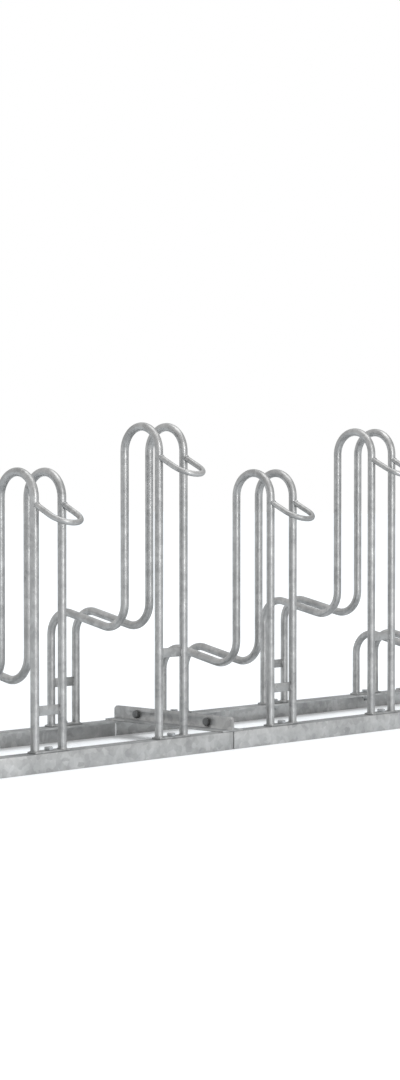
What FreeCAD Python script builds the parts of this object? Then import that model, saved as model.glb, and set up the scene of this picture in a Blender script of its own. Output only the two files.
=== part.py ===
import FreeCAD, Part
import math
import os
import Sketcher

# Floor bike rack: five holders, low and tall in turn, on two pairs of angle rails.
# Millimetres, +Z up, X along the row, the lock loops reach out at the front (-Y).

doc = FreeCAD.newDocument("floor_bike_rack")
Vec = FreeCAD.Vector

# ---------------------------------------------------------------- driving dimensions
sheet = doc.addObject("Spreadsheet::Sheet", "Sheet")
SIZES = [
    ("place_pitch", "350"),
    ("frame_depth", "378"),
    ("tube_diameter", "18"),
    ("tube_spacing", "74"),
    ("bend_radius", "52.5"),
    ("tall_height", "712"),
    ("low_height", "614"),
    ("post_setback", "17.5"),
    ("cradle_slope", "12"),
    ("tall_cradle_height", "270"),
    ("low_cradle_height", "172"),
    ("rail_leg", "38"),
    ("rail_thickness", "4"),
    ("rail_gap", "2"),
    ("foot_length", "92"),
    ("foot_width", "25"),
    ("foot_thickness", "4"),
    ("foot_hole", "11"),
    ("strap_height", "20"),
    ("strap_thickness", "5"),
    ("tall_front_strap_height", "221"),
    ("low_front_strap_height", "123"),
    ("back_strap_centre", "136"),
    ("loop_bar", "12"),
    ("loop_reach", "87"),
    ("loop_droop", "26"),
    ("loop_drop", "72.5"),
    ("angle_leg", "32"),
    ("angle_thickness", "4"),
    ("angle_inset", "2"),
    ("angle_corner", "6"),
    ("angle_hole", "11"),
    ("angle_hole_spacing", "224"),
    ("angle_hole_rise", "17"),
    ("bolt_diameter", "10"),
    ("bolt_flats", "16"),
    ("bolt_head", "7"),
    ("foot_bolt_length", "22"),
    ("joint_bolt_length", "20"),
    ("nut_height", "8"),
    ("nut_bore", "10.1"),
    # sizes that follow from the ones above
    ("flange_top", "=rail_leg"),
    ("foot_top", "=rail_leg + foot_thickness"),
    ("loop_front", "=loop_reach * cos(loop_droop) + loop_bar / 2 - post_setback"),
    ("front_face", "=-(frame_depth - loop_front) / 2"),
    ("back_face", "=front_face + frame_depth"),
    ("front_post", "=front_face + post_setback"),
    ("back_post", "=back_face - post_setback"),
    ("arch_centre", "=front_post + bend_radius"),
    ("cradle_centre", "=front_post + 3 * bend_radius"),
    ("back_centre", "=back_post - bend_radius"),
    ("cradle_run", "=back_centre - cradle_centre"),
    ("cradle_rise", "=(cradle_run * sin(cradle_slope) - 2 * bend_radius) / cos(cradle_slope)"),
    ("tall_arch_level", "=tall_height - tube_diameter / 2 - bend_radius"),
    ("low_arch_level", "=low_height - tube_diameter / 2 - bend_radius"),
    ("tall_cradle_level", "=tall_cradle_height + bend_radius"),
    ("low_cradle_level", "=low_cradle_height + bend_radius"),
    ("tall_back_level", "=tall_cradle_level + cradle_rise"),
    ("low_back_level", "=low_cradle_level + cradle_rise"),
    ("row_half", "=2.5 * place_pitch"),
    ("joint_line", "=-0.5 * place_pitch"),
    ("tube_offset", "=tube_spacing / 2"),
    ("clear_gap", "=tube_spacing - tube_diameter"),
    ("angle_length", "=frame_depth - 2 * angle_inset"),
    ("angle_level", "=rail_leg + angle_hole_rise"),
]
for row, (alias, text) in enumerate(SIZES, 1):
    sheet.set("A%d" % row, alias)
    sheet.set("B%d" % row, text)
    sheet.setAlias("B%d" % row, alias)
doc.recompute()

FLATS = 12          # flats of the round tube and bar sections
ARCH_STEPS = 8      # straight steps of a half-turn bend
CRADLE_STEPS = 5    # straight steps of a cradle bend
KINDS = ["low", "tall", "low", "tall", "low"]
NODES = []


def size(alias):
    """A driving or derived dimension as a number."""
    return float(getattr(sheet, alias))


def cell(alias):
    """A dimension as it is written in an expression."""
    return "Sheet." + alias


# ---------------------------------------------------------------- sketch helpers
def origin_plane(body, role):
    """The origin plane of a body with this role."""
    for feature in body.Origin.OriginFeatures:
        if feature.Role == role:
            return feature
    return None


def new_body(label, x="0", y="0", z="0"):
    """An empty body placed by three expressions."""
    body = doc.addObject("PartDesign::Body", label)
    body.Label = label
    body.setExpression("Placement.Base.x", x)
    body.setExpression("Placement.Base.y", y)
    body.setExpression("Placement.Base.z", z)
    return body


def new_sketch(body, label, role):
    """A sketch on one of the body's origin planes."""
    sketch = body.newObject("Sketcher::SketchObject", label)
    sketch.AttachmentSupport = [(origin_plane(body, role), "")]
    sketch.MapMode = "FlatFace"
    return sketch


def bind(sketch, kind, geometry, position, value, rule):
    """A horizontal or vertical distance from the origin, driven by an expression."""
    index = sketch.addConstraint(Sketcher.Constraint(kind, -1, 1, geometry, position, value))
    sketch.setExpression("Constraints[%d]" % index, rule)


def draw_chain(sketch, corners, closed):
    """Straight lines through corners given as ((x, rule), (y, rule))."""
    spots = [Vec(corner[0][0], corner[1][0], 0) for corner in corners]
    first = sketch.GeometryCount
    count = len(spots) if closed else len(spots) - 1
    for i in range(count):
        sketch.addGeometry(Part.LineSegment(spots[i], spots[(i + 1) % len(spots)]), False)
    for i in range(count - 1):
        sketch.addConstraint(Sketcher.Constraint("Coincident", first + i, 2, first + i + 1, 1))
    if closed:
        sketch.addConstraint(Sketcher.Constraint("Coincident", first + count - 1, 2, first, 1))
    for i, (across, up) in enumerate(corners):
        edge = first + min(i, count - 1)
        end = 1 if i < count else 2
        bind(sketch, "DistanceX", edge, end, across[0], across[1])
        bind(sketch, "DistanceY", edge, end, up[0], up[1])


def draw_hole(sketch, centre, diameter):
    """A circle whose centre and diameter follow expressions."""
    across, up = centre
    spot = Vec(across[0], up[0], 0)
    index = sketch.addGeometry(Part.Circle(spot, Vec(0, 0, 1), diameter[0] / 2), False)
    bind(sketch, "DistanceX", index, 3, across[0], across[1])
    bind(sketch, "DistanceY", index, 3, up[0], up[1])
    rim = sketch.addConstraint(Sketcher.Constraint("Diameter", index, diameter[0]))
    sketch.setExpression("Constraints[%d]" % rim, diameter[1])


def add(value, alias, sign=1):
    """Adds a dimension to a (number, rule) pair."""
    number, rule = value
    mark = "+" if sign > 0 else "-"
    return (number + sign * size(alias), "%s %s %s" % (rule, mark, cell(alias)))


def ref(alias, factor=1):
    """A (number, rule) pair for a dimension, times a plain factor."""
    return (factor * size(alias), "%s * %s" % (factor, cell(alias)))


def level(number):
    """A (number, rule) pair for a plain number."""
    return (number, "%s" % number)


def flat_section(centre_x, centre_y, diameter):
    """Corners of a tube section with FLATS flats that touch the true circle."""
    half = 180.0 / FLATS
    radius = size(diameter) / 2 / math.cos(math.radians(half))
    corners = []
    for i in range(FLATS):
        turn = half * (2 * i + 1)
        pair = []
        for centre, trig, name in ((centre_x, math.cos, "cos"), (centre_y, math.sin, "sin")):
            number = centre[0] + radius * trig(math.radians(turn))
            rule = "%s + %s / 2 / cos(%s) * %s(%s)" % (centre[1], cell(diameter), half, name, turn)
            pair.append((number, rule))
        corners.append(tuple(pair))
    return corners


def bend(centre_x, centre_y, radius, start, sweep, steps):
    """Corners of a bend: straight steps that touch the true arc, in angles of (number, rule)."""
    corners = []
    for i in range(steps):
        share = (i + 0.5) / steps
        turn = start[0] + sweep[0] * share
        turn_rule = "(%s + (%s) * %s)" % (start[1], sweep[1], share)
        reach = radius[0] / math.cos(math.radians(sweep[0] / steps / 2))
        reach_rule = "%s / cos((%s) / %s)" % (radius[1], sweep[1], 2 * steps)
        pair = []
        for centre, trig, name in ((centre_x, math.cos, "cos"), (centre_y, math.sin, "sin")):
            number = centre[0] + reach * trig(math.radians(turn))
            pair.append((number, "%s + %s * %s%s" % (centre[1], reach_rule, name, turn_rule)))
        corners.append(tuple(pair))
    return corners


def sweep_tube(body, label, path_role, profile_role, corners, section, offset=None):
    """Sweeps a flat-sided tube section along the corners with mitred turns."""
    path = new_sketch(body, label + "_path", path_role)
    draw_chain(path, corners, False)
    profile = new_sketch(body, label + "_section", profile_role)
    if offset:
        profile.setExpression("AttachmentOffset.Base.z", offset)
    draw_chain(profile, section, True)
    doc.recompute()
    pipe = body.newObject("PartDesign::AdditivePipe", label + "_sweep")
    pipe.Profile = profile
    pipe.Spine = (path, ["Edge%d" % (i + 1) for i in range(path.GeometryCount)])
    pipe.Mode = "Standard"
    pipe.Transition = "Right corner"
    body.Tip = pipe


def pad(body, sketch, label, length):
    """A pad along the sketch normal, its length an expression."""
    feature = body.newObject("PartDesign::Pad", label + "_pad")
    feature.Profile = sketch
    feature.setExpression("Length", length)
    body.Tip = feature
    return feature


def drill(body, label, role, centres, diameter):
    """Round holes through the whole body, cut both ways from an origin plane."""
    doc.recompute()
    before = body.Shape.Volume
    sketch = new_sketch(body, label + "_holes", role)
    for centre in centres:
        draw_hole(sketch, centre, diameter)
    cut = body.newObject("PartDesign::Pocket", label + "_drill")
    cut.Profile = sketch
    cut.Type = "ThroughAll"
    cut.Midplane = True
    body.Tip = cut
    doc.recompute()
    if body.Shape.Volume >= before:
        raise RuntimeError(label + ": the holes took nothing away")


def place_x(number):
    """Centre of a holder along the row."""
    return "%d * %s" % (number - 3, cell("place_pitch"))


# ---------------------------------------------------------------- hoops
def make_hoop(number, side):
    """One serpentine tube: post, arch, inner leg, cradle, back bend, back post."""
    kind = KINDS[number - 1]
    label = "hoop_%d_%s" % (number, side)
    mark = "-" if side == "left" else "+"
    x_rule = "%s %s %s" % (place_x(number), mark, cell("tube_offset"))
    body = new_body(label, x_rule, cell("front_post"), cell("foot_top"))
    base = ("front_post", "foot_top")

    def spot(across, up):
        return (add(ref(across), base[0], -1), add(ref(up), base[1], -1))

    radius = ref("bend_radius")
    slope = size("cradle_slope")
    turn = (90 + slope, "90 + " + cell("cradle_slope"))
    arch = spot("arch_centre", kind + "_arch_level")
    cradle = spot("cradle_centre", kind + "_cradle_level")
    back = spot("back_centre", kind + "_back_level")
    corners = [(level(0), level(0))]
    corners += bend(arch[0], arch[1], radius, level(180), level(-180), ARCH_STEPS)
    corners += bend(cradle[0], cradle[1], radius, level(180), turn, CRADLE_STEPS)
    back_turn = (-90 - slope, "-90 - " + cell("cradle_slope"))
    corners += bend(back[0], back[1], radius, turn, back_turn, CRADLE_STEPS)
    corners.append((add(ref("back_post"), "front_post", -1), level(0)))
    section = flat_section(level(0), level(0), "tube_diameter")
    sweep_tube(body, label, "YZ_Plane", "XY_Plane", corners, section)
    NODES.append(body)
    return body


# ---------------------------------------------------------------- lock loops
def make_loop(number, hoops):
    """A U of round bar that droops forward from the two front posts."""
    kind = KINDS[number - 1]
    label = "lock_loop_%d" % number
    rise = "%s - %s" % (cell(kind + "_height"), cell("loop_drop"))
    body = new_body(label + "_bar", place_x(number), cell("front_post"), rise)
    body.Placement = FreeCAD.Placement(Vec(0, 0, 0), FreeCAD.Rotation(Vec(1, 0, 0), 1))
    body.setExpression("Placement.Rotation.Angle", cell("loop_droop"))
    half = ref("tube_offset")
    reach = (size("tube_offset") - size("loop_reach"),
             "%s - %s" % (cell("tube_offset"), cell("loop_reach")))
    left = ref("tube_offset", -1)
    corners = [(left, level(0))]
    corners += bend(level(0), reach, half, level(180), level(180), ARCH_STEPS)
    corners.append((half, level(0)))
    section = flat_section(left, level(0), "loop_bar")
    sweep_tube(body, label, "XY_Plane", "XZ_Plane", corners, section)
    cut = body
    for i, hoop in enumerate(hoops):
        step = doc.addObject("Part::Cut", "%s_cope_%d" % (label, i + 1))
        step.Base = cut
        step.Tool = hoop
        cut = step
    cut.Label = label
    NODES.append(cut)


# ---------------------------------------------------------------- straps and foot plates
def rectangle(width, height):
    """Corners of a rectangle centred on the origin, sizes given as aliases."""
    w = size(width) / 2
    v = size(height) / 2
    wr = cell(width) + " / 2"
    vr = cell(height) + " / 2"
    return [((-w, "-" + wr), (-v, "-" + vr)), ((w, wr), (-v, "-" + vr)),
            ((w, wr), (v, vr)), ((-w, "-" + wr), (v, vr))]


def make_strap(label, number, y_alias, z_alias):
    """A flat bar that fits between the two tubes of a holder."""
    body = new_body(label, place_x(number), cell(y_alias), cell(z_alias))
    sketch = new_sketch(body, label + "_outline", "XZ_Plane")
    draw_chain(sketch, rectangle("clear_gap", "strap_height"), True)
    bar = pad(body, sketch, label, cell("strap_thickness"))
    bar.Midplane = True
    NODES.append(body)


def make_foot(label, number, y_alias):
    """A foot plate with one bolt hole midway between its two tubes."""
    body = new_body(label, place_x(number), cell(y_alias), cell("flange_top"))
    sketch = new_sketch(body, label + "_outline", "XY_Plane")
    draw_chain(sketch, rectangle("foot_length", "foot_width"), True)
    draw_hole(sketch, (level(0), level(0)), ref("foot_hole"))
    pad(body, sketch, label, cell("foot_thickness"))
    NODES.append(body)


# ---------------------------------------------------------------- rails
def make_rail(label, start, end, holders, at_front):
    """An angle rail: vertical leg outside, flange on top pointing inward, bolt holes."""
    sign = 1 if at_front else -1
    y_alias = "front_face" if at_front else "back_face"
    x_rule = start[1]
    body = new_body(label, x_rule, cell(y_alias), "0")
    leg = ref("rail_leg")
    thick = ref("rail_thickness")
    side = (sign * leg[0], "%d * %s" % (sign, cell("rail_leg")))
    web = (sign * thick[0], "%d * %s" % (sign, cell("rail_thickness")))
    under = (leg[0] - thick[0], "%s - %s" % (cell("rail_leg"), cell("rail_thickness")))
    sketch = new_sketch(body, label + "_profile", "YZ_Plane")
    zero = level(0)
    draw_chain(sketch, [(zero, zero), (web, zero), (web, under), (side, under),
                        (side, leg), (zero, leg)], True)
    pad(body, sketch, label, "(%s) - (%s)" % (end[1], start[1]))
    setback = (sign * size("post_setback"), "%d * %s" % (sign, cell("post_setback")))
    centres = []
    for number in holders:
        number_x = (number - 3) * size("place_pitch") - start[0]
        rule = "%s - (%s)" % (place_x(number), start[1])
        centres.append(((number_x, rule), setback))
    drill(body, label, "XY_Plane", centres, ref("foot_hole"))
    doc.recompute()
    NODES.append(body)


# ---------------------------------------------------------------- cross angles
def make_angle(label, plane, inward):
    """A cross angle on the flanges, its vertical leg on a section end plane."""
    body = new_body(label, plane, "%s + %s" % (cell("front_face"), cell("angle_inset")),
                    cell("flange_top"))
    zero = level(0)
    leg = ref("angle_leg")
    run = ref("angle_length")
    corner = cell("angle_corner")
    below = (leg[0] - size("angle_corner"), "%s - %s" % (cell("angle_leg"), corner))
    near = ref("angle_corner")
    far = (run[0] - near[0], "%s - %s" % (cell("angle_length"), corner))
    upright = new_sketch(body, label + "_upright", "YZ_Plane")
    draw_chain(upright, [(zero, zero), (run, zero), (run, below), (far, leg),
                         (near, leg), (zero, below)], True)
    rise = ref("angle_hole_rise")
    for mark in (-1, 1):
        spot = (run[0] / 2 + mark * size("angle_hole_spacing") / 2,
                "%s / 2 + %d * %s / 2" % (cell("angle_length"), mark, cell("angle_hole_spacing")))
        draw_hole(upright, (spot, rise), ref("angle_hole"))
    plate = pad(body, upright, label + "_upright", cell("angle_thickness"))
    plate.Reversed = inward < 0
    wide = (inward * leg[0], "%d * %s" % (inward, cell("angle_leg")))
    sole = new_sketch(body, label + "_sole", "XY_Plane")
    draw_chain(sole, [(zero, zero), (wide, zero), (wide, run), (zero, run)], True)
    pad(body, sole, label + "_sole", cell("angle_thickness"))
    NODES.append(body)


# ---------------------------------------------------------------- bolts and nuts
def place(item, x, y, z, sideways=False):
    """Places a primitive by expressions; sideways points its axis along +X."""
    if sideways:
        item.Placement = FreeCAD.Placement(Vec(0, 0, 0), FreeCAD.Rotation(Vec(0, 1, 0), 90))
    item.setExpression("Placement.Base.x", x)
    item.setExpression("Placement.Base.y", y)
    item.setExpression("Placement.Base.z", z)


def hexagon(label, height):
    """A hexagonal prism across the bolt flats."""
    item = doc.addObject("Part::Prism", label)
    item.Polygon = 6
    item.setExpression("Circumradius", cell("bolt_flats") + " / 2 / cos(30)")
    item.setExpression("Height", cell(height))
    return item


def bore_blank(label):
    """A twelve-sided plug for the threaded hole of a nut."""
    item = doc.addObject("Part::Prism", label)
    item.Polygon = 12
    item.setExpression("Circumradius", cell("nut_bore") + " / 2 / cos(15)")
    item.setExpression("Height", cell("nut_height"))
    return item


def rod(label, diameter, height):
    """A plain round rod."""
    item = doc.addObject("Part::Cylinder", label)
    item.setExpression("Radius", cell(diameter) + " / 2")
    item.setExpression("Height", cell(height))
    return item


def group(label, members):
    """A node of separate solids."""
    item = doc.addObject("Part::Compound", label)
    item.Label = label
    item.Links = members
    NODES.append(item)


def make_foot_fasteners():
    """One bolt with its nut through every foot plate."""
    bolts = []
    nuts = []
    for number in range(1, 6):
        for y_alias in ("front_post", "back_post"):
            name = "%d_%s" % (number, y_alias)
            spot = (place_x(number), cell(y_alias))
            head = hexagon("head_" + name, "bolt_head")
            place(head, spot[0], spot[1], cell("foot_top"))
            shank = rod("shank_" + name, "bolt_diameter", "foot_bolt_length")
            low = "%s - %s" % (cell("foot_top"), cell("foot_bolt_length"))
            place(shank, spot[0], spot[1], low)
            bolt = doc.addObject("Part::Fuse", "bolt_" + name)
            bolt.Base = head
            bolt.Tool = shank
            bolts.append(bolt)
            blank = hexagon("nut_blank_" + name, "nut_height")
            bore = bore_blank("nut_bore_" + name)
            nut_low = "%s - %s - %s" % (cell("flange_top"), cell("rail_thickness"),
                                        cell("nut_height"))
            place(blank, spot[0], spot[1], nut_low)
            place(bore, spot[0], spot[1], nut_low)
            nut = doc.addObject("Part::Cut", "nut_" + name)
            nut.Base = blank
            nut.Tool = bore
            nuts.append(nut)
    group("foot_bolts", bolts)
    group("foot_nuts", nuts)


def make_joint_fasteners():
    """Two bolts with nuts that hold the joint angles face to face."""
    bolts = []
    nuts = []
    middle = "(%s + %s) / 2" % (cell("front_face"), cell("back_face"))
    left_face = "%s - %s" % (cell("joint_line"), cell("angle_thickness"))
    right_face = "%s + %s" % (cell("joint_line"), cell("angle_thickness"))
    for mark in (-1, 1):
        name = "joint_front" if mark < 0 else "joint_back"
        y_rule = "%s + %d * %s / 2" % (middle, mark, cell("angle_hole_spacing"))
        z_rule = cell("angle_level")
        head = hexagon("head_" + name, "bolt_head")
        place(head, "%s - %s" % (left_face, cell("bolt_head")), y_rule, z_rule, True)
        shank = rod("shank_" + name, "bolt_diameter", "joint_bolt_length")
        place(shank, left_face, y_rule, z_rule, True)
        bolt = doc.addObject("Part::Fuse", "bolt_" + name)
        bolt.Base = head
        bolt.Tool = shank
        bolts.append(bolt)
        blank = hexagon("nut_blank_" + name, "nut_height")
        bore = bore_blank("nut_bore_" + name)
        place(blank, right_face, y_rule, z_rule, True)
        place(bore, right_face, y_rule, z_rule, True)
        nut = doc.addObject("Part::Cut", "nut_" + name)
        nut.Base = blank
        nut.Tool = bore
        nuts.append(nut)
    group("joint_bolts", bolts)
    group("joint_nuts", nuts)


# ---------------------------------------------------------------- the rack
for number, kind in enumerate(KINDS, 1):
    pair = [make_hoop(number, "left"), make_hoop(number, "right")]
    make_loop(number, pair)
    make_strap("front_strap_%d" % number, number, "front_post", kind + "_front_strap_height")
    if kind == "tall":
        make_strap("back_strap_%d" % number, number, "back_post", "back_strap_centre")
    make_foot("front_foot_%d" % number, number, "front_post")
    make_foot("back_foot_%d" % number, number, "back_post")

left_end = (-size("row_half"), "-1 * " + cell("row_half"))
left_stop = (size("joint_line") - size("rail_gap"),
             "%s - %s" % (cell("joint_line"), cell("rail_gap")))
right_start = (size("joint_line") + size("rail_gap"),
               "%s + %s" % (cell("joint_line"), cell("rail_gap")))
right_end = ref("row_half")
for side, at_front in (("front", True), ("back", False)):
    make_rail(side + "_rail_left", left_end, left_stop, [1, 2], at_front)
    make_rail(side + "_rail_right", right_start, right_end, [3, 4, 5], at_front)

make_angle("end_angle_left", "-1 * " + cell("row_half"), 1)
make_angle("joint_angle_left", cell("joint_line"), -1)
make_angle("joint_angle_right", cell("joint_line"), 1)
make_angle("end_angle_right", cell("row_half"), -1)
make_foot_fasteners()
make_joint_fasteners()

# ---------------------------------------------------------------- checks and export
doc.recompute()
for item in doc.Objects:
    if "Invalid" in item.State or "Error" in item.State:
        raise RuntimeError(item.Label + ": " + ", ".join(item.State))
os.makedirs("parts", exist_ok=True)
overall = None
for item in NODES:
    shape = item.Shape
    if shape.isNull() or not shape.isValid():
        raise RuntimeError(item.Label + ": bad shape")
    overall = shape.BoundBox if overall is None else overall.united(shape.BoundBox)
    shape.exportStep("parts/" + item.Label + ".step")
print(len(NODES), "nodes", overall)
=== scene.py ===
"""Floor bike rack: bent tubes, weld beads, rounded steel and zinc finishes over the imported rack."""

import math

import bpy
from bpy.props import FloatProperty, FloatVectorProperty, IntProperty, PointerProperty
from mathutils import Matrix, Vector


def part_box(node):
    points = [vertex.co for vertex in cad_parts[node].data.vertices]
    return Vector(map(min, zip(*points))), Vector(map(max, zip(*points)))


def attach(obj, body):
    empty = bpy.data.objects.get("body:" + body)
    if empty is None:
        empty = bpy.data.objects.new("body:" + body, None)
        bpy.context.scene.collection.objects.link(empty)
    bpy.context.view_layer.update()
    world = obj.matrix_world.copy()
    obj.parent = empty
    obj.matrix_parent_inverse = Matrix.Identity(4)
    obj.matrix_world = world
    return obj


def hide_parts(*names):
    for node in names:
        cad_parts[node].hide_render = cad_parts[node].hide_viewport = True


bl_info = {
    "name": "Floor Bike Rack",
    "version": (1, 0, 0),
    "blender": (4, 5, 0),
    "location": "View3D > Sidebar > Bike Rack",
    "description": "Bent tube holders, lock loops, rails, welds and fasteners of a floor bike rack",
    "category": "Object",
}

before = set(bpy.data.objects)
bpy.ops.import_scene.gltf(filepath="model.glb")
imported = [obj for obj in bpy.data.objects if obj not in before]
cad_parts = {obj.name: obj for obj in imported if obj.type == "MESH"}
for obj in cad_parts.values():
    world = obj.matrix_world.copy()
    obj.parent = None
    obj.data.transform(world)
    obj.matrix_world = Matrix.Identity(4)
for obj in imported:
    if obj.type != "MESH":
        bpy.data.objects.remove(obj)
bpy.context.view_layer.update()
HOLDERS = (1, 2, 3, 4, 5)
TALL = (2, 4)
CROSS_ANGLES = ("end_angle_left", "joint_angle_left", "joint_angle_right", "end_angle_right")

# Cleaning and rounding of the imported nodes
MERGE_DISTANCE = 0.00001
COPLANAR_ANGLE = math.radians(0.5)
SHARP_ANGLE = math.radians(50)
EDGE_SEGMENTS = 2

# Zinc finish: texture scales, spans of noise or normal, and shares of colour and height
WARP_SCALE = 60.0
WARP_REACH = 0.008
GRAIN_SCALE = 420.0
GRAIN_CONTRAST = 0.25
CLOUD_SPAN = (0.32, 0.68)
# The next four constants shape the painted shade on upward faces: the normals it covers, its patches and
# the roughness it adds.
LYING_SPAN = (0.75, 0.98)
PATCH_SPAN = (0.25, 0.55)
PATCH_COVER = (0.75, 1.0)
PAINTED_SHADE_ROUGHNESS = 0.4
CLOUD_HEIGHT = 1.4
GRAIN_HEIGHT = 0.5
CRYSTAL_HEIGHT = 0.12

# Weld beads: shares are of the weld leg
BEAD_SIDES = 8
BEAD_STEP = 0.0016
BEAD_UNEVENNESS = 0.22
FOOT_BEAD_STEPS = 26
FOOT_BEAD_OPENING = math.radians(100)
SADDLE_STATIONS = 32
SADDLE_BEAD_SHARE = 0.9
STRAP_BEAD_SHARE = 0.8
STRAP_BEAD_MARGIN = 0.0015
ANGLE_BEAD_MARGIN = 0.004

# Bolts and nuts: BEARING_SHARE is of the flats, ROOT_SHARE of the crest and TIP_SHARE of the root
HEAD_SIDES = 48
SHANK_SIDES = 24
BORE_SIDES = 36
BEARING_SHARE = 0.475
BEARING_HEIGHT = 0.0005
PLAIN_LENGTH = 0.003
ROOT_SHARE = 0.86
TIP_SHARE = 0.97

# Floor, sky and camera
FLOOR_WIDTH = 60
FLOOR_DROP = 0.0005
FLOOR_GRAIN = 0.01
GLOW_REACH = (0.9, 3.6)
GLOW_STRENGTH = (0.13, 0.36)
HORIZON_SIDE = (-0.714, -0.700, 0.0)
HORIZON_SPAN = (-0.9, 0.35)
HORIZON_LEVEL = (0.16, 0.58)
SKY_SPAN = (0.10, 0.75)
SKY_COLOUR = (0.89, 0.95, 1.0, 1.0)
EYE_PLACE = (-3.6446, -3.4503, 0.5790)
EYE_TURN = (math.radians(88.552), 0, math.radians(-45.6))
EYE_LENS = 73.04
EYE_SENSOR = 36.0
EYE_FAR = 200.0


# ---------------------------------------------------------------- sizes and finishes
class RackSizes(bpy.types.PropertyGroup):
    """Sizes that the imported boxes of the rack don't give."""

    bend_radius: FloatProperty(
        name="Bend Radius",
        description="Centreline radius of every bend of the hoop tubes",
        default=0.0525,
        unit="LENGTH",
    )
    cradle_slope: FloatProperty(
        name="Cradle Slope",
        description="Rise of the tube that carries the tyre",
        default=math.radians(12),
        subtype="ANGLE",
    )
    tall_cradle: FloatProperty(
        name="Tall Cradle Height",
        description="Lowest point of the tube axis in the cradle of a tall holder",
        default=0.270,
        unit="LENGTH",
    )
    # """Registers the classes and builds every piece in order."""
    low_cradle: FloatProperty(
        name="Low Cradle Height",
        description="Lowest point of the tube axis in the cradle of a low holder",
        default=0.172,
        unit="LENGTH",
    )
    loop_bar: FloatProperty(
        name="Lock Loop Bar",
        description="Diameter of the round bar of a lock loop",
        default=0.012,
        unit="LENGTH",
    )
    loop_reach: FloatProperty(
        name="Lock Loop Reach",
        description="From the post axis to the middle of the bar at the end of the loop",
        default=0.087,
        unit="LENGTH",
    )
    loop_droop: FloatProperty(
        name="Lock Loop Droop",
        description="Angle by which a lock loop hangs below level",
        default=math.radians(26),
        subtype="ANGLE",
    )
    loop_drop: FloatProperty(
        name="Lock Loop Drop",
        description="From the top of the hoop down to where the loop meets the post axis",
        default=0.0725,
        unit="LENGTH",
    )
    edge_round: FloatProperty(
        name="Edge Round",
        description="Radius on the edges of rails, plates and straps",
        default=0.0009,
        unit="LENGTH",
    )
    weld_leg: FloatProperty(
        name="Weld Leg",
        description="Half thickness of a weld bead",
        default=0.0019,
        unit="LENGTH",
    )
    thread_pitch: FloatProperty(
        name="Thread Pitch",
        description="Pitch of the M10 threads",
        default=0.0015,
        unit="LENGTH",
    )
    bolt_flats: FloatProperty(
        name="Bolt Flats",
        description="Width across the flats of the bolt heads and nuts",
        default=0.016,
        unit="LENGTH",
    )
    bolt_head: FloatProperty(
        name="Bolt Head",
        description="Height of a bolt head",
        default=0.007,
        unit="LENGTH",
    )
    nut_height: FloatProperty(
        name="Nut Height",
        description="Height of a nut",
        default=0.008,
        unit="LENGTH",
    )
    nut_bore: FloatProperty(
        name="Nut Bore",
        description="Width of the bore of a nut",
        default=0.0101,
        unit="LENGTH",
    )
    shank: FloatProperty(
        name="Shank",
        description="Diameter of the bolt shanks over the thread",
        default=0.010,
        unit="LENGTH",
    )
    tube_sides: IntProperty(
        name="Tube Sides",
        description="Sides of the round tube section",
        default=32,
        min=12,
    )
    bend_steps: IntProperty(
        name="Bend Steps",
        description="Steps in a half turn of a bend",
        default=36,
        min=8,
    )


class RackFinish(bpy.types.PropertyGroup):
    """Colours of the zinc, the painted shade on upward faces and the floor."""

    zinc_light: FloatVectorProperty(
        name="Light Zinc",
        description="Bright crystals of the hot-dip coat",
        default=(0.465, 0.466, 0.462),
        subtype="COLOR",
        size=3,
    )
    zinc_dark: FloatVectorProperty(
        name="Dark Zinc",
        description="Dull crystals of the hot-dip coat",
        default=(0.225, 0.227, 0.227),
        subtype="COLOR",
        size=3,
    )
    # Painted shade: a dark colour laid in patches on upward faces such as flange tops and foot plates.
    painted_shade: FloatVectorProperty(
        name="Painted Shade",
        description="Painted shade on the flange tops and foot plates",
        default=(0.115, 0.118, 0.118),
        subtype="COLOR",
        size=3,
    )
    bolt_light: FloatVectorProperty(
        name="Light Bolt Zinc",
        description="Bright side of the plated fasteners",
        default=(0.50, 0.515, 0.525),
        subtype="COLOR",
        size=3,
    )
    bolt_dark: FloatVectorProperty(
        name="Dark Bolt Zinc",
        description="Dull side of the plated fasteners",
        default=(0.22, 0.223, 0.223),
        subtype="COLOR",
        size=3,
    )
    floor_colour: FloatVectorProperty(
        name="Floor Colour",
        description="Pale floor under the rack",
        default=(0.86, 0.86, 0.86),
        subtype="COLOR",
        size=3,
    )


def sizes():
    """The rack's sizes in the current scene."""
    return bpy.context.scene.rack_sizes


def finish():
    """The rack's colours in the current scene."""
    return bpy.context.scene.rack_finish


def rgba(colour):
    """A colour with full alpha."""
    return (colour[0], colour[1], colour[2], 1.0)


# ---------------------------------------------------------------- shader groups
def socket(group, name, in_out, kind, default=None):
    """Adds a named socket to a shader group."""
    item = group.interface.new_socket(name=name, in_out=in_out, socket_type=kind)
    if default is not None:
        item.default_value = default


def math_node(tree, operation, first, second):
    """A Math node fed by numbers or sockets."""
    node = tree.nodes.new("ShaderNodeMath")
    node.operation = operation
    for slot, value in zip(node.inputs, (first, second)):
        if isinstance(value, (int, float)):
            slot.default_value = value
        else:
            tree.links.new(value, slot)
    return node.outputs[0]


def map_range(tree, value, span, result, smooth=False):
    """A Map Range node from one pair of numbers to another."""
    node = tree.nodes.new("ShaderNodeMapRange")
    node.interpolation_type = "SMOOTHSTEP" if smooth else "LINEAR"
    tree.links.new(value, node.inputs["Value"])
    node.inputs["From Min"].default_value = span[0]
    node.inputs["From Max"].default_value = span[1]
    node.inputs["To Min"].default_value = result[0]
    node.inputs["To Max"].default_value = result[1]
    return node.outputs[0]


def mix_colour(tree, factor, first, second):
    """A colour Mix node fed by colours or sockets."""
    node = tree.nodes.new("ShaderNodeMix")
    node.data_type = "RGBA"
    for slot, value in ((node.inputs[0], factor), (node.inputs[6], first), (node.inputs[7], second)):
        if isinstance(value, tuple):
            slot.default_value = value
        else:
            tree.links.new(value, slot)
    return node.outputs[2]


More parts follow.
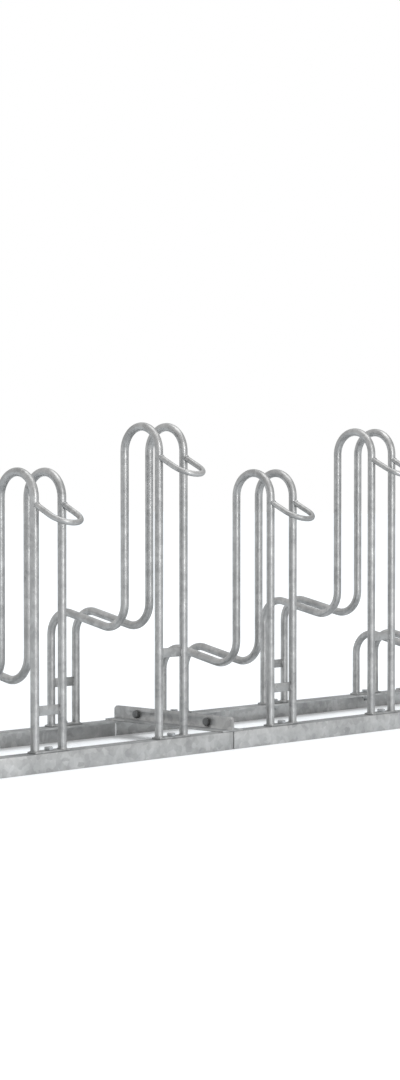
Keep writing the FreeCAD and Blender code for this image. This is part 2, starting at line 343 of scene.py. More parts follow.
def noise(tree, place, detail, scale=5.0):
    """A Noise Texture node on Object coordinates."""
    node = tree.nodes.new("ShaderNodeTexNoise")
    node.inputs["Scale"].default_value = scale
    node.inputs["Detail"].default_value = detail
    tree.links.new(place.outputs["Object"], node.inputs["Vector"])
    return node


def zinc_group():
    """Hot-dip zinc: crystals, clouds, fine grain and painted shade in patches on upward faces."""
    group = bpy.data.node_groups.get("zinc_spangle")
    if group:
        return group
    group = bpy.data.node_groups.new("zinc_spangle", "ShaderNodeTree")
    socket(group, "Light", "INPUT", "NodeSocketColor", (0.7, 0.7, 0.7, 1))
    socket(group, "Dark", "INPUT", "NodeSocketColor", (0.4, 0.4, 0.4, 1))
    socket(group, "Crystals", "INPUT", "NodeSocketFloat", 90.0)
    socket(group, "Crystal Contrast", "INPUT", "NodeSocketFloat", 0.35)
    socket(group, "Cloud Scale", "INPUT", "NodeSocketFloat", 14.0)
    socket(group, "Cloud Contrast", "INPUT", "NodeSocketFloat", 0.45)
    socket(group, "Smoothest", "INPUT", "NodeSocketFloat", 0.3)
    socket(group, "Roughest", "INPUT", "NodeSocketFloat", 0.55)
    socket(group, "Painted Shade", "INPUT", "NodeSocketFloat", 0.0)
    socket(group, "Painted Shade Color", "INPUT", "NodeSocketColor", (0.1, 0.1, 0.1, 1))
    socket(group, "Color", "OUTPUT", "NodeSocketColor")
    socket(group, "Roughness", "OUTPUT", "NodeSocketFloat")
    socket(group, "Height", "OUTPUT", "NodeSocketFloat")
    socket(group, "Metallic", "OUTPUT", "NodeSocketFloat")
    nodes = group.nodes
    links = group.links
    given = nodes.new("NodeGroupInput")
    made = nodes.new("NodeGroupOutput")
    place = nodes.new("ShaderNodeTexCoord")
    warp = noise(group, place, detail=2.0, scale=WARP_SCALE)
    shift = nodes.new("ShaderNodeVectorMath")
    shift.operation = "MULTIPLY_ADD"
    shift.inputs[1].default_value = (WARP_REACH, WARP_REACH, WARP_REACH)
    links.new(warp.outputs["Color"], shift.inputs[0])
    links.new(place.outputs["Object"], shift.inputs[2])
    cells = nodes.new("ShaderNodeTexVoronoi")
    cells.feature = "F1"
    links.new(shift.outputs[0], cells.inputs["Vector"])
    links.new(given.outputs["Crystals"], cells.inputs["Scale"])
    grey = nodes.new("ShaderNodeSeparateColor")
    links.new(cells.outputs["Color"], grey.inputs[0])
    clouds = noise(group, place, detail=4.0)
    clouds.inputs["Roughness"].default_value = 0.6
    links.new(given.outputs["Cloud Scale"], clouds.inputs["Scale"])
    cloud = map_range(group, clouds.outputs["Fac"], CLOUD_SPAN, (0.0, 1.0))
    grain = noise(group, place, detail=3.0, scale=GRAIN_SCALE)
    crystal = math_node(group, "MULTIPLY", grey.outputs[0], given.outputs["Crystal Contrast"])
    cloudy = math_node(group, "MULTIPLY", cloud, given.outputs["Cloud Contrast"])
    fine = math_node(group, "MULTIPLY", grain.outputs["Fac"], GRAIN_CONTRAST)
    blend = math_node(group, "ADD", math_node(group, "ADD", crystal, cloudy), fine)
    clean = mix_colour(group, blend, given.outputs["Light"], given.outputs["Dark"])
    # Painted shade: upward faces are darkened in patches and made rougher and less metallic.
    upward = nodes.new("ShaderNodeSeparateXYZ")
    links.new(place.outputs["Normal"], upward.inputs[0])
    lying = map_range(group, upward.outputs["Z"], LYING_SPAN, (0.0, 1.0), smooth=True)
    patchy = map_range(group, clouds.outputs["Fac"], PATCH_SPAN, PATCH_COVER)
    cover = math_node(group, "MULTIPLY", lying, patchy)
    painted_shade = math_node(group, "MULTIPLY", cover, given.outputs["Painted Shade"])
    links.new(mix_colour(group, painted_shade, clean, given.outputs["Painted Shade Color"]), made.inputs["Color"])
    links.new(math_node(group, "SUBTRACT", 1.0, painted_shade), made.inputs["Metallic"])
    rough = nodes.new("ShaderNodeMapRange")
    uneven = math_node(group, "ADD", math_node(group, "MULTIPLY", grey.outputs[1], 0.5),
                       math_node(group, "MULTIPLY", cloud, 0.5))
    links.new(uneven, rough.inputs["Value"])
    links.new(given.outputs["Smoothest"], rough.inputs["To Min"])
    links.new(given.outputs["Roughest"], rough.inputs["To Max"])
    dull = math_node(group, "MULTIPLY", painted_shade, PAINTED_SHADE_ROUGHNESS)
    links.new(math_node(group, "ADD", rough.outputs[0], dull), made.inputs["Roughness"])
    lift = math_node(group, "ADD", math_node(group, "MULTIPLY", clouds.outputs["Fac"], CLOUD_HEIGHT),
                     math_node(group, "MULTIPLY", grain.outputs["Fac"], GRAIN_HEIGHT))
    facets = math_node(group, "MULTIPLY", grey.outputs[2], CRYSTAL_HEIGHT)
    links.new(math_node(group, "ADD", lift, facets), made.inputs["Height"])
    return group


def zinc_material(name, light, dark, values, bump=0.2, bump_distance=0.0006):
    """A steel finish that uses the zinc group with its own values."""
    material = bpy.data.materials.get(name)
    if material:
        return material
    material = bpy.data.materials.new(name)
    material.use_nodes = True
    tree = material.node_tree
    shader = tree.nodes["Principled BSDF"]
    zinc = tree.nodes.new("ShaderNodeGroup")
    zinc.node_tree = zinc_group()
    zinc.inputs["Light"].default_value = rgba(light)
    zinc.inputs["Dark"].default_value = rgba(dark)
    zinc.inputs["Painted Shade Color"].default_value = rgba(finish().painted_shade)
    for key, value in values.items():
        zinc.inputs[key].default_value = value
    tree.links.new(zinc.outputs["Color"], shader.inputs["Base Color"])
    tree.links.new(zinc.outputs["Roughness"], shader.inputs["Roughness"])
    relief = tree.nodes.new("ShaderNodeBump")
    relief.inputs["Strength"].default_value = bump
    relief.inputs["Distance"].default_value = bump_distance
    tree.links.new(zinc.outputs["Height"], relief.inputs["Height"])
    tree.links.new(relief.outputs[0], shader.inputs["Normal"])
    tree.links.new(zinc.outputs["Metallic"], shader.inputs["Metallic"])
    return material


def tube_zinc():
    """Zinc on the drawn tubes."""
    look = finish()
    return zinc_material("galvanised_tube", look.zinc_light, look.zinc_dark, {
        "Crystals": 110.0, "Crystal Contrast": 0.30, "Cloud Scale": 22.0, "Cloud Contrast": 0.45,
        "Smoothest": 0.32, "Roughest": 0.50}, bump=0.25)


def paler(colour, by):
    """A colour made lighter or darker by a factor."""
    return tuple(min(1.0, part * by) for part in colour)


def rail_zinc(name="galvanised_rail", by=1.28):
    """Zinc on the rolled angles, with larger crystals and clouds."""
    look = finish()
    # The shade share of 0.6 paints shade on the flange tops.
    return zinc_material(name, paler(look.zinc_light, by), paler(look.zinc_dark, by), {
        "Crystals": 75.0, "Crystal Contrast": 0.34, "Cloud Scale": 13.0, "Cloud Contrast": 0.50,
        "Smoothest": 0.38, "Roughest": 0.60, "Painted Shade": 0.6}, bump=0.3)


def plate_zinc():
    """Zinc on the flat plates and straps."""
    look = finish()
    # The shade share of 0.5 paints shade on the tops of the plates and straps.
    return zinc_material("galvanised_plate", look.zinc_light, look.zinc_dark, {
        "Crystals": 95.0, "Crystal Contrast": 0.34, "Cloud Scale": 26.0, "Cloud Contrast": 0.40,
        "Smoothest": 0.34, "Roughest": 0.56, "Painted Shade": 0.5}, bump=0.3)


def weld_zinc():
    """Zinc over the weld beads."""
    look = finish()
    # The shade share of 0.3 paints shade on the upward parts of the beads.
    return zinc_material("galvanised_weld", look.zinc_light, look.zinc_dark, {
        "Crystals": 260.0, "Crystal Contrast": 0.30, "Cloud Scale": 160.0, "Cloud Contrast": 0.45,
        "Smoothest": 0.34, "Roughest": 0.58, "Painted Shade": 0.3}, bump=0.5)


def shaded_joint_zinc():
    """Plated finish of the joint bolts and nuts, made darker as painted shade and a little rougher."""
    look = finish()
    # Painted shade: the joint fasteners take darker copies of the bolt zinc colours.
    return zinc_material("shaded_plated_fastener", paler(look.bolt_dark, 0.9), paler(look.bolt_dark, 0.45), {
        "Crystals": 400.0, "Crystal Contrast": 0.20, "Cloud Scale": 90.0, "Cloud Contrast": 0.40,
        "Smoothest": 0.30, "Roughest": 0.48}, bump=0.15)


def bolt_zinc():
    """Plated finish of the foot bolts and nuts."""
    look = finish()
    return zinc_material("plated_fastener", look.bolt_light, look.bolt_dark, {
        "Crystals": 400.0, "Crystal Contrast": 0.20, "Cloud Scale": 90.0, "Cloud Contrast": 0.40,
        "Smoothest": 0.24, "Roughest": 0.42}, bump=0.15)


# ---------------------------------------------------------------- modelling helpers
def deselect():
    """Leaves edit mode and deselects everything."""
    if bpy.context.object and bpy.context.object.mode != "OBJECT":
        bpy.ops.object.mode_set(mode="OBJECT")
    bpy.ops.object.select_all(action="DESELECT")


def select_only(piece):
    """Makes this piece the only selected one, and active."""
    deselect()
    piece.select_set(True)
    bpy.context.view_layer.objects.active = piece


def settle(piece, name, material, angle=40):
    """Applies the place, smooths the faces and gives the piece its name and material."""
    select_only(piece)
    bpy.ops.object.transform_apply(location=True, rotation=True, scale=True)
    bpy.ops.object.shade_smooth_by_angle(angle=math.radians(angle))
    piece.name = name
    piece.data.name = name
    piece.data.materials.clear()
    piece.data.materials.append(material)
    return piece


def copy_to(piece, name, offset):
    """A copy with its own mesh, moved in its mesh."""
    twin = bpy.data.objects.new(name, piece.data.copy())
    twin.data.name = name
    twin.data.transform(Matrix.Translation(offset))
    bpy.context.scene.collection.objects.link(twin)
    return twin


def bent_round(start, turn, radius, runs, sides):
    """A closed round rod: a circle drawn along straight runs and spun round bends."""
    deselect()
    bpy.ops.mesh.primitive_circle_add(
        vertices=sides, radius=radius, fill_type="NGON", location=start, rotation=turn)
    piece = bpy.context.object
    bpy.ops.object.mode_set(mode="EDIT")
    bpy.ops.mesh.select_mode(type="FACE")
    bpy.ops.mesh.select_all(action="SELECT")
    for kind, *rest in runs:
        if kind == "straight":
            bpy.ops.mesh.extrude_region_move(TRANSFORM_OT_translate={"value": rest[0]})
        else:
            centre, axis, angle, steps = rest
            bpy.ops.mesh.spin(steps=steps, angle=-angle, center=centre, axis=axis)
    bpy.ops.mesh.select_all(action="SELECT")
    bpy.ops.mesh.remove_doubles(threshold=MERGE_DISTANCE)
    bpy.ops.mesh.normals_make_consistent(inside=False)
    bpy.ops.object.mode_set(mode="OBJECT")
    return piece


def rounded_copy(node, material):
    """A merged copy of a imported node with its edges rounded; it stands for the node."""
    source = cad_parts[node]
    piece = bpy.data.objects.new(node + "_rounded", source.data.copy())
    bpy.context.scene.collection.objects.link(piece)
    select_only(piece)
    bpy.ops.object.mode_set(mode="EDIT")
    bpy.ops.mesh.select_all(action="SELECT")
    bpy.ops.mesh.remove_doubles(threshold=MERGE_DISTANCE)
    bpy.ops.mesh.dissolve_limited(angle_limit=COPLANAR_ANGLE)
    bpy.ops.object.mode_set(mode="OBJECT")
    bevel = piece.modifiers.new("edge_round", "BEVEL")
    bevel.width = sizes().edge_round
    bevel.segments = EDGE_SEGMENTS
    bevel.limit_method = "ANGLE"
    bevel.angle_limit = SHARP_ANGLE
    bpy.ops.object.modifier_apply(modifier=bevel.name)
    settle(piece, node + "_rounded", material)
    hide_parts(node)
    return piece


def mount(piece):
    """Lets a piece ride on the rack."""
    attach(piece, "root")


# ---------------------------------------------------------------- hoops
def hoop_runs(node, tall):
    """Start point and runs of a hoop's centre line, from the node's box."""
    size = sizes()
    low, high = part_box(node)
    radius = (high.x - low.x) / 2
    x = (low.x + high.x) / 2
    bend = size.bend_radius
    front = low.y + radius
    back = high.y - radius
    crown = high.z - radius - bend
    cradle = (size.tall_cradle if tall else size.low_cradle) + bend
    slope = size.cradle_slope
    run = back - bend - (front + 3 * bend)
    rise = (run * math.sin(slope) - 2 * bend) / math.cos(slope)
    sweep = math.pi / 2 + slope
    steps = size.bend_steps
    sweep_steps = max(4, round(steps * sweep / math.pi))
    arch_centre = (x, front + bend, crown)
    cradle_centre = (x, front + 3 * bend, cradle)
    back_centre = (x, back - bend, cradle + rise)
    leave = Vector((x, cradle_centre[1] + bend * math.sin(slope), cradle - bend * math.cos(slope)))
    arrive = Vector((x, back_centre[1] - bend * math.sin(slope),
                     back_centre[2] + bend * math.cos(slope)))
    across = (1, 0, 0)
    runs = [
        ("straight", (0, 0, crown - low.z)),
        ("bend", arch_centre, across, -math.pi, steps),
        ("straight", (0, 0, cradle - crown)),
        ("bend", cradle_centre, across, sweep, sweep_steps),
        ("straight", tuple(arrive - leave)),
        ("bend", back_centre, across, -sweep, sweep_steps),
        ("straight", (0, 0, low.z - back_centre[2])),
    ]
    return (x, front, low.z), radius, runs


class RACK_OT_hoops(bpy.types.Operator):
    """Bend the smooth hoop tubes of all holders"""

    bl_idname = "rack.hoops"
    bl_label = "Hoop Tubes"

    def execute(self, context):
        first = {}
        for number in HOLDERS:
            tall = number in TALL
            for side in ("left", "right"):
                node = "hoop_%d_%s" % (number, side)
                name = "tube_%d_%s" % (number, side)
                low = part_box(node)[0]
                if tall not in first:
                    start, radius, runs = hoop_runs(node, tall)
                    piece = bent_round(start, (0, 0, 0), radius, runs, sizes().tube_sides)
                    settle(piece, name, tube_zinc())
                    first[tall] = (piece, low.x)
                else:
                    source, source_x = first[tall]
                    piece = copy_to(source, name, (low.x - source_x, 0, 0))
                mount(piece)
                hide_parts(node)
        return {"FINISHED"}


# ---------------------------------------------------------------- lock loops
class RACK_OT_lock_loops(bpy.types.Operator):
    """Bend the lock loops of round bar"""

    bl_idname = "rack.lock_loops"
    bl_label = "Lock Loops"

    def execute(self, context):
        size = sizes()
        droop = size.loop_droop
        ahead = Vector((0, -math.cos(droop), -math.sin(droop)))
        upright = (0, -math.sin(droop), math.cos(droop))
        for number in HOLDERS:
            left_low, left_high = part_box("hoop_%d_left" % number)
            right_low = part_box("hoop_%d_right" % number)[0]
            tube = (left_high.x - left_low.x) / 2
            half = (right_low.x - left_low.x) / 2
            middle = left_low.x + tube + half
            root = Vector((middle, left_low.y + tube, left_high.z - size.loop_drop))
            leg = size.loop_reach - half
            start = root - Vector((half, 0, 0))
            runs = [
                ("straight", tuple(ahead * leg)),
                ("bend", tuple(root + ahead * leg), upright, math.pi, size.bend_steps),
                ("straight", tuple(ahead * -leg)),
            ]
            turn = (math.pi / 2 + droop, 0, 0)
            piece = bent_round(tuple(start), turn, size.loop_bar / 2, runs, size.tube_sides)
            settle(piece, "lock_bar_%d" % number, tube_zinc())
            mount(piece)
            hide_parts("lock_loop_%d" % number)
        return {"FINISHED"}


# ---------------------------------------------------------------- rails, angles, plates, straps
class RACK_OT_rails(bpy.types.Operator):
    """Round the edges of the rails and cross angles"""

    bl_idname = "rack.rails"
    bl_label = "Rails and Cross Angles"

    def execute(self, context):
        for node in ("front_rail_left", "front_rail_right", "back_rail_left", "back_rail_right"):
            mount(rounded_copy(node, rail_zinc()))
        for node in CROSS_ANGLES:
            mount(rounded_copy(node, rail_zinc("galvanised_angle", 1.08)))
        return {"FINISHED"}


class RACK_OT_plates(bpy.types.Operator):
    """Round the edges of the foot plates and straps"""

    bl_idname = "rack.plates"
    bl_label = "Foot Plates and Straps"

    def execute(self, context):
        names = ["front_foot_%d" % number for number in HOLDERS]
        names += ["back_foot_%d" % number for number in HOLDERS]
        names += ["front_strap_%d" % number for number in HOLDERS]
        names += ["back_strap_%d" % number for number in TALL]
        for node in names:
            mount(rounded_copy(node, plate_zinc()))
        return {"FINISHED"}


# ---------------------------------------------------------------- weld beads
def ripple(piece, seed):
    """Makes a bead a little uneven, as a hand weld is."""
    select_only(piece)
    bpy.ops.object.mode_set(mode="EDIT")
    bpy.ops.mesh.select_all(action="SELECT")
    bpy.ops.transform.vertex_random(
        offset=sizes().weld_leg * BEAD_UNEVENNESS, uniform=0.6, normal=0.4, seed=seed)
    bpy.ops.object.mode_set(mode="OBJECT")
    return piece


def foot_bead(centre, radius, outward, seed):
    """A bead round the foot of a tube, open on its outer side."""
    begin = (math.pi if outward < 0 else 0.0) + FOOT_BEAD_OPENING / 2
    ray = Vector((math.cos(begin), math.sin(begin), 0))
    along = Vector((-ray.y, ray.x, 0))
    turn = along.to_track_quat("Z", "Y").to_euler()
    runs = [("bend", tuple(centre), (0, 0, 1), 2 * math.pi - FOOT_BEAD_OPENING, FOOT_BEAD_STEPS)]
    start = tuple(centre + ray * radius)
    return ripple(bent_round(start, tuple(turn), sizes().weld_leg, runs, BEAD_SIDES), seed)


def line_bead(start, end, radius, seed):
    """A straight bead from start to end."""
    start = Vector(start)
    way = Vector(end) - start
    turn = way.to_track_quat("Z", "Y").to_euler()
    count = max(4, round(way.length / BEAD_STEP))
    runs = [("straight", tuple(way / count))] * count
    return ripple(bent_round(tuple(start), tuple(turn), radius, runs, BEAD_SIDES), seed)


def saddle_bead(root, ahead, tube, bar, seed):
    """A bead round a bar, each station moved along the bar until it lies on the front of the tube."""
    bpy.ops.mesh.primitive_torus_add(
        major_segments=SADDLE_STATIONS, minor_segments=BEAD_SIDES, major_radius=bar,
        minor_radius=sizes().weld_leg * SADDLE_BEAD_SHARE,
        location=root, rotation=ahead.to_track_quat("Z", "Y").to_euler())
    piece = bpy.context.object
    bpy.ops.object.transform_apply(location=True, rotation=True, scale=True)
    bpy.ops.object.mode_set(mode="EDIT")
    bpy.ops.mesh.select_all(action="DESELECT")
    bpy.ops.object.mode_set(mode="OBJECT")
    for station in range(SADDLE_STATIONS):
        ring = range(station * BEAD_SIDES, (station + 1) * BEAD_SIDES)
        across = sum(piece.data.vertices[i].co.x for i in ring) / BEAD_SIDES - root[0]
        reach = math.sqrt(max(tube ** 2 - across ** 2, 0.0)) / -ahead.y
        for vertex in piece.data.vertices:
            vertex.select = vertex.index in ring
        bpy.ops.object.mode_set(mode="EDIT")
        bpy.ops.transform.translate(value=ahead * reach)
        bpy.ops.object.mode_set(mode="OBJECT")
    return ripple(piece, seed)


def join_beads(beads, name):
    """Joins beads into one piece of weld metal."""
    deselect()
    for bead in beads:
        bead.select_set(True)
    bpy.context.view_layer.objects.active = beads[0]
    bpy.ops.object.join()
    mount(settle(bpy.context.object, name, weld_zinc(), angle=60))


def holder_beads(number):
    """All beads of one holder: tube feet, lock loop and strap ends."""
    size = sizes()
    beads = []
    tubes = [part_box("hoop_%d_%s" % (number, side)) for side in ("left", "right")]
    radius = (tubes[0][1].x - tubes[0][0].x) / 2
    ahead = Vector((0, -math.cos(size.loop_droop), -math.sin(size.loop_droop)))
    for outward, (low, high) in zip((-1, 1), tubes):
        x = (low.x + high.x) / 2
        for y in (low.y + radius, high.y - radius):
            beads.append(foot_bead(Vector((x, y, low.z)), radius, outward, len(beads)))
        root = (x, low.y + radius, high.z - size.loop_drop)
        beads.append(saddle_bead(root, ahead, radius, size.loop_bar / 2, len(beads)))
    straps = ["front_strap_%d" % number]
    if number in TALL:
        straps.append("back_strap_%d" % number)
    for node in straps:
        low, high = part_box(node)
        middle = (low.y + high.y) / 2
        inset = radius - math.sqrt(radius ** 2 - (high.y - middle) ** 2)
        for x in (low.x - inset, high.x + inset):
            for y in (low.y, high.y):
                start = (x, y, low.z + STRAP_BEAD_MARGIN)
                end = (x, y, high.z - STRAP_BEAD_MARGIN)
                beads.append(line_bead(start, end, size.weld_leg * STRAP_BEAD_SHARE, len(beads)))
    return beads


class RACK_OT_welds(bpy.types.Operator):
    """Lay the weld beads of the holders and the cross angles"""

    bl_idname = "rack.welds"
    bl_label = "Weld Beads"

    def execute(self, context):
        for number in HOLDERS:
            join_beads(holder_beads(number), "holder_welds_%d" % number)
        leg = sizes().weld_leg
        for node in CROSS_ANGLES:
            low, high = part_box(node)
            inward = 1 if node in ("end_angle_left", "joint_angle_right") else -1
            x = high.x if inward > 0 else low.x
            front_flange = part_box("front_rail_right")[1].y
            back_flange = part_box("back_rail_right")[0].y
            beads = []
            for near, far in ((low.y, front_flange), (back_flange, high.y)):
                start = (x, near + ANGLE_BEAD_MARGIN, low.z)
                end = (x, far - ANGLE_BEAD_MARGIN, low.z)
                beads.append(line_bead(start, end, leg, len(beads)))
            join_beads(beads, node + "_welds")
        return {"FINISHED"}


# ---------------------------------------------------------------- bolts and nuts
def trim(piece, cutter, operation):
    """Applies a boolean and removes its cutter."""
    select_only(piece)
    change = piece.modifiers.new("trim", "BOOLEAN")
    change.operation = operation
    change.solver = "EXACT"
    change.object = cutter
    bpy.ops.object.modifier_apply(modifier=change.name)
    bpy.data.objects.remove(cutter)


def hex_blank(low, high, chamfers):
    """A hexagonal prism between two levels on the Z axis, turned down at the marked ends."""
    flats = sizes().bolt_flats
    height = high - low
    middle = (low + high) / 2
    bpy.ops.mesh.primitive_cylinder_add(
        vertices=6, radius=flats / 2 / math.cos(math.pi / 6), depth=height,
        location=(0, 0, middle), rotation=(0, 0, math.pi / 2))
    blank = bpy.context.object
    spread = height * math.sqrt(3)
    for end in chamfers:
        narrow = flats * BEARING_SHARE
        wide = narrow + spread
        bpy.ops.mesh.primitive_cone_add(
            vertices=HEAD_SIDES, radius1=wide if end > 0 else narrow,
            radius2=narrow if end > 0 else wide, depth=height, location=(0, 0, middle))
        trim(blank, bpy.context.object, "INTERSECT")
    return blank


def threaded_shank(length):
    """A shank that hangs down from the origin, plain at the top, with ring grooves for its thread."""
    size = sizes()
    crest = size.shank / 2
    root = crest * ROOT_SHARE
    pitch = size.thread_pitch
    turns = int((length - PLAIN_LENGTH - pitch / 2) / pitch)
    deselect()
    bpy.ops.mesh.primitive_circle_add(
        vertices=SHANK_SIDES, radius=crest, fill_type="NGON", location=(0, 0, 0))
    piece = bpy.context.object
    bpy.ops.object.mode_set(mode="EDIT")
    bpy.ops.mesh.select_mode(type="FACE")
    bpy.ops.mesh.select_all(action="SELECT")
    steps = [(length - turns * pitch, 1.0)]
    for number in range(turns):
        widen = crest / root if number < turns - 1 else TIP_SHARE
        steps += [(pitch / 2, root / crest), (pitch / 2, widen)]
    for drop, scale in steps:
        bpy.ops.mesh.extrude_region_move(TRANSFORM_OT_translate={"value": (0, 0, -drop)})
        bpy.ops.transform.resize(value=(scale, scale, 1))
    bpy.ops.mesh.select_all(action="SELECT")
    bpy.ops.mesh.normals_make_consistent(inside=False)
    bpy.ops.object.mode_set(mode="OBJECT")
    return piece


def hex_bolt(length):
    """A hex bolt that stands on the origin, its shank down: chamfered head, bearing face, thread."""
    size = sizes()
    deselect()
    head = hex_blank(BEARING_HEIGHT, size.bolt_head, (1,))
    deselect()
    bpy.ops.mesh.primitive_cylinder_add(
        vertices=HEAD_SIDES, radius=size.bolt_flats * BEARING_SHARE,
        depth=BEARING_HEIGHT * 2, location=(0, 0, BEARING_HEIGHT))
    face = bpy.context.object
    shank = threaded_shank(length)
    deselect()
    for piece in (head, face, shank):
        piece.select_set(True)
    bpy.context.view_layer.objects.active = head
    bpy.ops.object.join()
    bpy.ops.object.transform_apply(location=True, rotation=True, scale=True)
    return head


def hex_nut():
    """A hex nut that stands on the origin, chamfered on both faces and bored."""
    size = sizes()
    deselect()
    nut = hex_blank(0.0, size.nut_height, (-1, 1))
    deselect()
    bpy.ops.mesh.primitive_cylinder_add(
        vertices=BORE_SIDES, radius=size.nut_bore / 2, depth=size.nut_height * 3, location=(0, 0, 0))
    trim(nut, bpy.context.object, "DIFFERENCE")
    bpy.ops.object.transform_apply(location=True, rotation=True, scale=True)
    return nut


def set_out(master, node, places, material):
    """Copies of a fastener at the given places, joined into one piece that stands for the node."""
    copies = []
    for place in places:
        twin = bpy.data.objects.new(node + "_copy", master.data.copy())
        twin.data.transform(place)
        bpy.context.scene.collection.objects.link(twin)
        copies.append(twin)
    bpy.data.objects.remove(master)
    deselect()
    for twin in copies:
        twin.select_set(True)
    bpy.context.view_layer.objects.active = copies[0]
    bpy.ops.object.join()
    piece = settle(bpy.context.object, node + "_turned", material, angle=30)
    mount(piece)
    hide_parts(node)


class RACK_OT_fasteners(bpy.types.Operator):
    """Turn and set out the bolts and nuts"""

    bl_idname = "rack.fasteners"
    bl_label = "Bolts and Nuts"

    def execute(self, context):
        size = sizes()
        low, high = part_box("foot_bolts")
        nut_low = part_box("foot_nuts")[0]
        seat = high.z - size.bolt_head
        spots = []
        for number in HOLDERS:
            for side in ("front", "back"):
                foot_low, foot_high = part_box("%s_foot_%d" % (side, number))
                spots.append((foot_low + foot_high) / 2)
        bolts = [Matrix.Translation((spot.x, spot.y, seat)) for spot in spots]
        nuts = [Matrix.Translation((spot.x, spot.y, nut_low.z)) for spot in spots]
        set_out(hex_bolt(seat - low.z), "foot_bolts", bolts, bolt_zinc())
        set_out(hex_nut(), "foot_nuts", nuts, bolt_zinc())
        low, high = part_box("joint_bolts")
        nut_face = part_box("joint_nuts")[1].x
        rows = (low.y + size.bolt_flats / 2, high.y - size.bolt_flats / 2)
        level = (low.z + high.z) / 2
        sideways = Matrix.Rotation(-math.pi / 2, 4, "Y")
        seat = low.x + size.bolt_head
        bolts = [Matrix.Translation((seat, y, level)) @ sideways for y in rows]
        nuts = [Matrix.Translation((nut_face, y, level)) @ sideways for y in rows]
        set_out(hex_bolt(high.x - seat), "joint_bolts", bolts, shaded_joint_zinc())
        set_out(hex_nut(), "joint_nuts", nuts, shaded_joint_zinc())
        return {"FINISHED"}


# ---------------------------------------------------------------- stage
class RACK_OT_stage(bpy.types.Operator):
    """Set up the floor, the soft light and the camera"""

    bl_idname = "rack.stage"
    bl_label = "Stage"

    def execute(self, context):
        scene = context.scene
        deselect()
        bpy.ops.mesh.primitive_plane_add(size=FLOOR_WIDTH, location=(0, 0, -FLOOR_DROP))
        floor = context.object
        settle(floor, "studio_floor", floor_material())
        sky_light(scene)
        lamp("key_light", place=(-1.45, -4.85, 1.7), aim=(0.0, 0.0, 0.35),
             width=1.1, height=3.4, power=80.0)
        lamp("top_light", place=(0.3, -0.6, 4.6), aim=(0.0, 0.0, 0.0),
             width=3.4, height=3.4, power=70.0)
        eye = bpy.data.cameras.new("photo_camera")
        eye.sensor_fit = "VERTICAL"
        eye.sensor_height = EYE_SENSOR
        eye.lens = EYE_LENS
        eye.clip_end = EYE_FAR
        camera = bpy.data.objects.new("photo_camera", eye)
        scene.collection.objects.link(camera)
        camera.location = EYE_PLACE
        camera.rotation_euler = EYE_TURN
        scene.camera = camera
        scene.view_settings.view_transform = "Standard"
        return {"FINISHED"}


def floor_material():
    """Pale floor that keeps the shadow; camera, transmission and glossy rays see it glow to white."""
    material = bpy.data.materials.new("pale_floor")
    material.use_nodes = True
    tree = material.node_tree
    shader = tree.nodes["Principled BSDF"]
    place = tree.nodes.new("ShaderNodeTexCoord")
    grain = noise(tree, place, detail=2.0, scale=3.0)
    colour = rgba(finish().floor_colour)
    lighter = tuple(min(1.0, part + FLOOR_GRAIN) for part in colour)
    tree.links.new(mix_colour(tree, grain.outputs["Fac"], colour, lighter), shader.inputs["Base Color"])
    shader.inputs["Roughness"].default_value = 0.9
    shader.inputs["Specular IOR Level"].default_value = 0.0
    glow = tree.nodes.new("ShaderNodeEmission")
    far = tree.nodes.new("ShaderNodeVectorMath")
    far.operation = "LENGTH"
    tree.links.new(place.outputs["Object"], far.inputs[0])
    strength = map_range(tree, far.outputs["Value"], GLOW_REACH, GLOW_STRENGTH, smooth=True)
    tree.links.new(strength, glow.inputs["Strength"])
    both = tree.nodes.new("ShaderNodeAddShader")
    tree.links.new(shader.outputs[0], both.inputs[0])
    tree.links.new(glow.outputs[0], both.inputs[1])
    ray = tree.nodes.new("ShaderNodeLightPath")
    choose = tree.nodes.new("ShaderNodeMixShader")
    tree.links.new(seen_ray(tree, ray), choose.inputs[0])
    tree.links.new(shader.outputs[0], choose.inputs[1])
    tree.links.new(both.outputs[0], choose.inputs[2])
    tree.links.new(choose.outputs[0], tree.nodes["Material Output"].inputs["Surface"])
    return material


def seen_ray(tree, ray):
    """One for camera, transmission and glossy rays."""
    plain = math_node(tree, "MAXIMUM", ray.outputs["Is Camera Ray"], ray.outputs["Is Transmission Ray"])
    return math_node(tree, "MAXIMUM", plain, ray.outputs["Is Glossy Ray"])


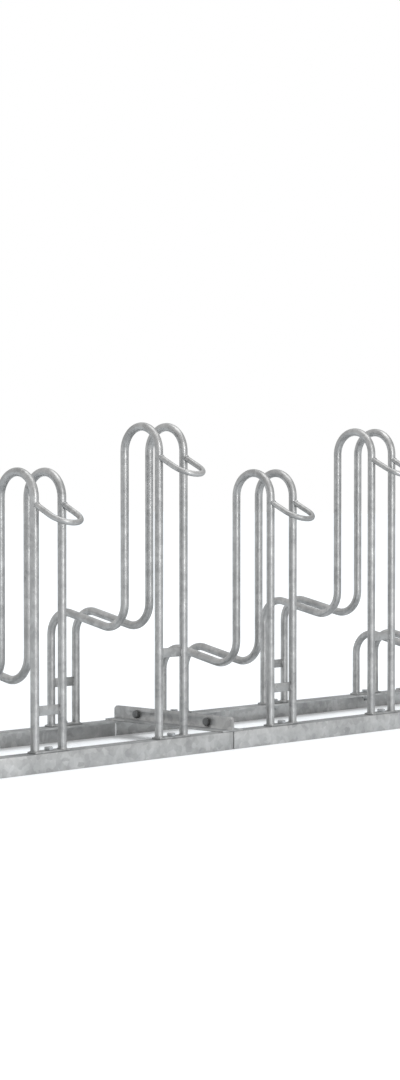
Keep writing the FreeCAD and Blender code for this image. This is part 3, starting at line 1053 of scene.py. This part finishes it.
def sky_light(scene):
    """Soft light: a pale blue sky over a dim horizon; camera, transmission and glossy rays see white."""
    world = bpy.data.worlds.new("studio_sky")
    scene.world = world
    world.use_nodes = True
    tree = world.node_tree
    tree.nodes.clear()
    place = tree.nodes.new("ShaderNodeTexCoord")
    split = tree.nodes.new("ShaderNodeSeparateXYZ")
    tree.links.new(place.outputs["Generated"], split.inputs[0])
    nearness = tree.nodes.new("ShaderNodeVectorMath")
    nearness.operation = "DOT_PRODUCT"
    nearness.inputs[1].default_value = HORIZON_SIDE
    tree.links.new(place.outputs["Generated"], nearness.inputs[0])
    level = map_range(tree, nearness.outputs["Value"], HORIZON_SPAN, HORIZON_LEVEL, smooth=True)
    horizon = tree.nodes.new("ShaderNodeCombineColor")
    for slot in horizon.inputs[:3]:
        tree.links.new(level, slot)
    height = map_range(tree, split.outputs["Z"], SKY_SPAN, (0.0, 1.0), smooth=True)
    light = tree.nodes.new("ShaderNodeBackground")
    tree.links.new(mix_colour(tree, height, horizon.outputs[0], SKY_COLOUR), light.inputs["Color"])
    white = tree.nodes.new("ShaderNodeBackground")
    white.inputs["Color"].default_value = (1, 1, 1, 1)
    white.inputs["Strength"].default_value = 1.0
    ray = tree.nodes.new("ShaderNodeLightPath")
    choose = tree.nodes.new("ShaderNodeMixShader")
    tree.links.new(seen_ray(tree, ray), choose.inputs[0])
    tree.links.new(light.outputs[0], choose.inputs[1])
    tree.links.new(white.outputs[0], choose.inputs[2])
    out = tree.nodes.new("ShaderNodeOutputWorld")
    tree.links.new(choose.outputs[0], out.inputs[0])


def lamp(name, place, aim, width, height, power):
    """A rectangular soft light aimed at a point, its height kept upright."""
    data = bpy.data.lights.new(name, "AREA")
    data.shape = "RECTANGLE"
    data.size = width
    data.size_y = height
    data.energy = power
    light = bpy.data.objects.new(name, data)
    bpy.context.scene.collection.objects.link(light)
    light.location = place
    light.rotation_euler = (Vector(aim) - Vector(place)).to_track_quat("-Z", "Y").to_euler()
    light.visible_camera = False


# ---------------------------------------------------------------- panel and registration
class RACK_PT_panel(bpy.types.Panel):
    """Shows the rack's sizes, colours and building steps"""

    bl_idname = "RACK_PT_panel"
    bl_label = "Bike Rack"
    bl_space_type = "VIEW_3D"
    bl_region_type = "UI"
    bl_category = "Bike Rack"

    def draw(self, context):
        layout = self.layout
        for group in (context.scene.rack_sizes, context.scene.rack_finish):
            box = layout.box()
            for name in group.bl_rna.properties.keys():
                if name not in ("rna_type", "name"):
                    box.prop(group, name)
        for operator in OPERATORS:
            layout.operator(operator.bl_idname)


OPERATORS = (
    RACK_OT_hoops,
    RACK_OT_lock_loops,
    RACK_OT_rails,
    RACK_OT_plates,
    RACK_OT_welds,
    RACK_OT_fasteners,
    RACK_OT_stage,
)
CLASSES = (RackSizes, RackFinish) + OPERATORS + (RACK_PT_panel,)


def register():
    """Registers the classes and the scene's properties."""
    for item in CLASSES:
        bpy.utils.register_class(item)
    bpy.types.Scene.rack_sizes = PointerProperty(type=RackSizes)
    bpy.types.Scene.rack_finish = PointerProperty(type=RackFinish)


def unregister():
    """Removes the classes and the scene's properties."""
    del bpy.types.Scene.rack_finish
    del bpy.types.Scene.rack_sizes
    for item in reversed(CLASSES):
        bpy.utils.unregister_class(item)


def main():
    """Builds every piece in order and notes the two boxes."""
    register()
    bpy.ops.rack.hoops()
    bpy.ops.rack.lock_loops()
    bpy.ops.rack.rails()
    bpy.ops.rack.plates()
    bpy.ops.rack.welds()
    bpy.ops.rack.fasteners()
    bpy.ops.rack.stage()


if __name__ == "__main__":
    main()
